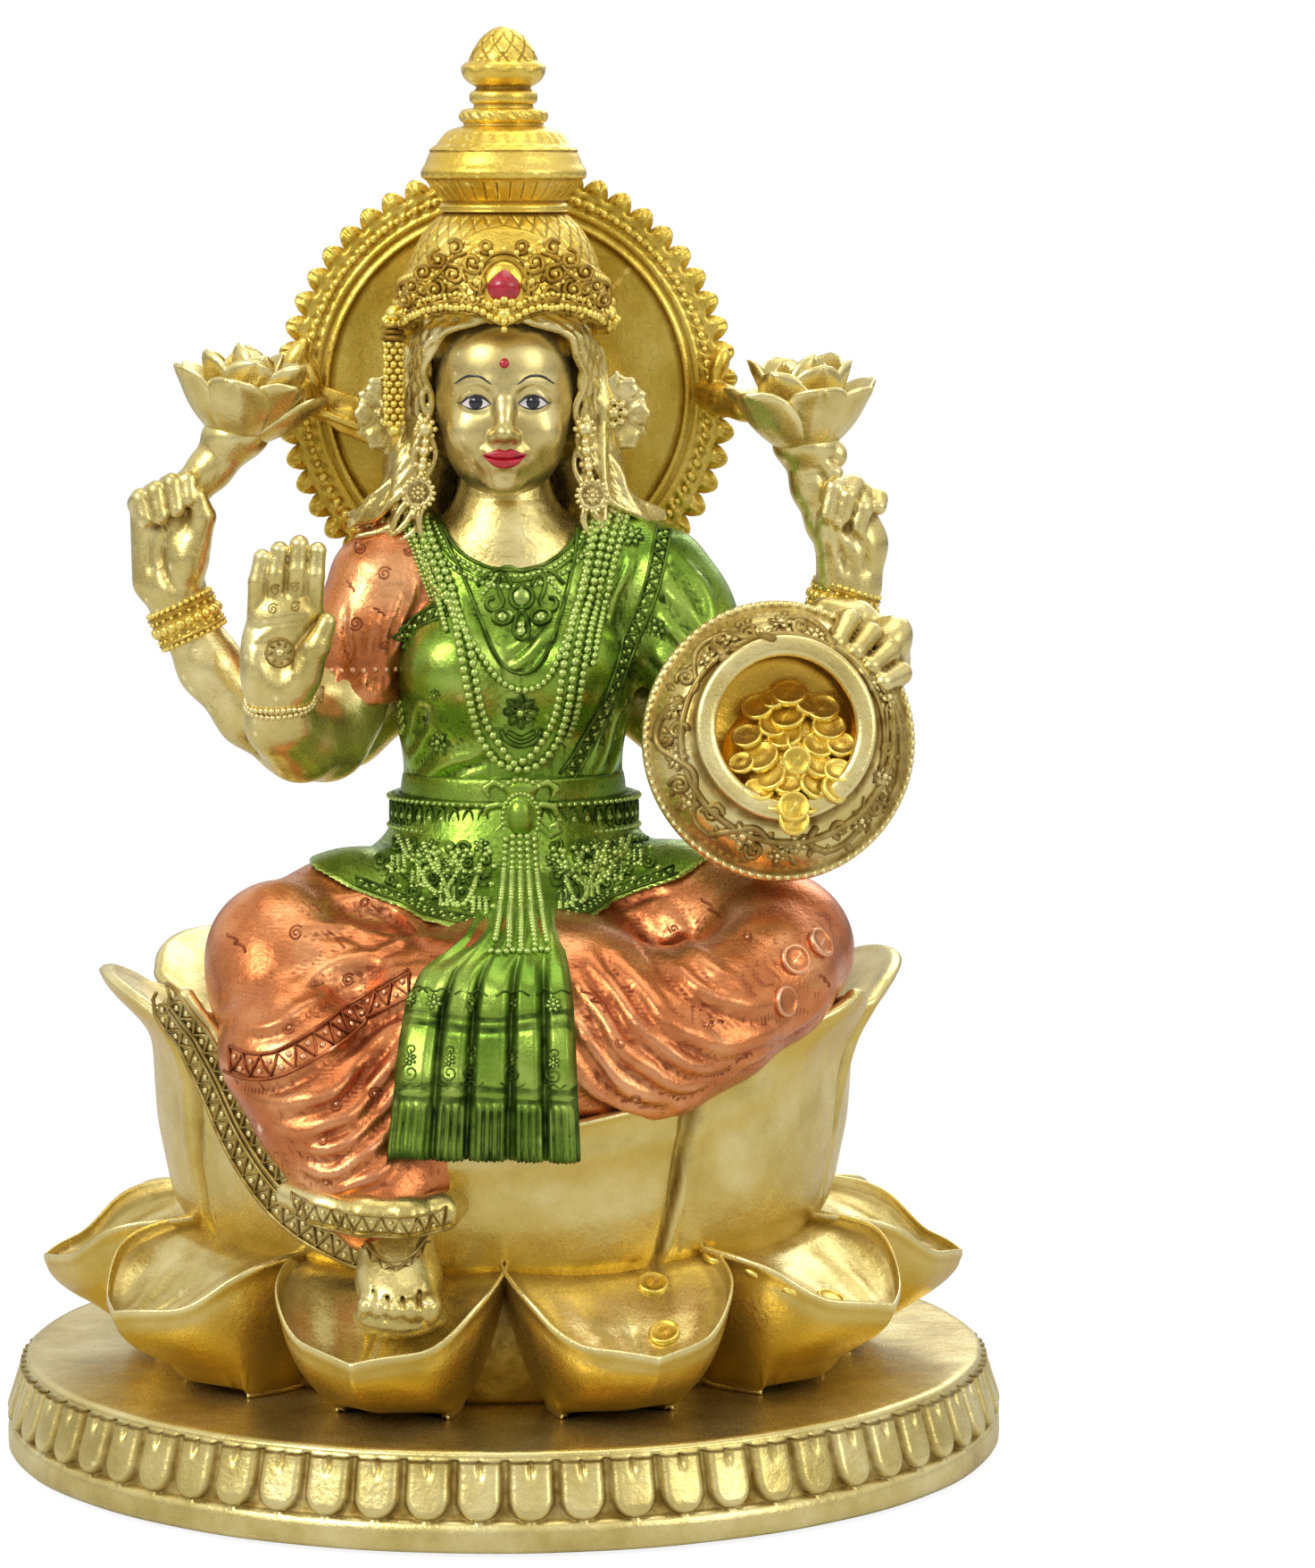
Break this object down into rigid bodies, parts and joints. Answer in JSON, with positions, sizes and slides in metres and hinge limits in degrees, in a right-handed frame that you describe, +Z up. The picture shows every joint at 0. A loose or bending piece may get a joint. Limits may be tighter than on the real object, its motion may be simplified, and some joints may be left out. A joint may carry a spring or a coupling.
{
  "type": "seated goddess figurine",
  "caption": "Seated goddess figurine on a lotus and a round plinth, with crown, halo, lotus flowers and a treasure pot, to stand on a shelf.",
  "frame": {"origin": "centre of the underside of the felt pad, on the axis of the round plinth", "axes": "+Z up; the figure faces -Y, so +X is the figure's own left"},
  "size_m": [0.1416, 0.1416, 0.2],
  "materials": {
    "pale_gold_resin": "pale champagne-gold metallic paint with a brown antique wash in the hollows",
    "yellow_gold_resin": "rich yellow-gold metallic paint with a dark wash in the hollows",
    "green_resin": "green metallic lacquer, rubbed back to gold on the raised edges",
    "salmon_resin": "salmon metallic lacquer, rubbed back to gold on the raised edges",
    "red_resin": "gloss red enamel",
    "felt": "short-pile felt",
    "steel": "plain drawn wire"
  },
  "bodies": {
    "root": {"ankle_hem": "yellow_gold_resin", "bead_garland": "green_resin", "blessing_arm": "pale_gold_resin", "body_dowel": "steel", "collar_necklace": "green_resin", "crown_diadem": "yellow_gold_resin", "crown_dome": "yellow_gold_resin", "crown_dowel": "steel", "crown_finial": "yellow_gold_resin", "crown_gem": "red_resin", "crown_tier": "yellow_gold_resin", "dhoti_legs": "salmon_resin", "ear_fans": "pale_gold_resin", "earrings": "pale_gold_resin", "felt_pad": "felt", "front_sash": "green_resin", "hair": "pale_gold_resin", "halo_disc": "yellow_gold_resin", "halo_dowels": "steel", "halo_rim": "yellow_gold_resin", "halo_web": "yellow_gold_resin", "head_and_neck": "pale_gold_resin", "hip_drape": "green_resin", "knee_coins": "salmon_resin", "left_lotus_bloom": "pale_gold_resin", "left_sleeve": "green_resin", "lotus_cup": "pale_gold_resin", "lotus_dowels": "steel", "lower_lotus": "pale_gold_resin", "neck_dowel": "steel", "petal_coins": "yellow_gold_resin", "plinth": "pale_gold_resin", "pot_coins": "yellow_gold_resin", "pot_hand": "pale_gold_resin", "rear_left_arm": "pale_gold_resin", "rear_right_arm": "pale_gold_resin", "right_foot": "pale_gold_resin", "right_lotus_bloom": "pale_gold_resin", "right_sleeve": "salmon_resin", "torso": "green_resin", "trailing_border": "yellow_gold_resin", "treasure_pot": "pale_gold_resin", "waist_belt": "green_resin", "wrist_bangles": "yellow_gold_resin"}
  },
  "joints": []
}
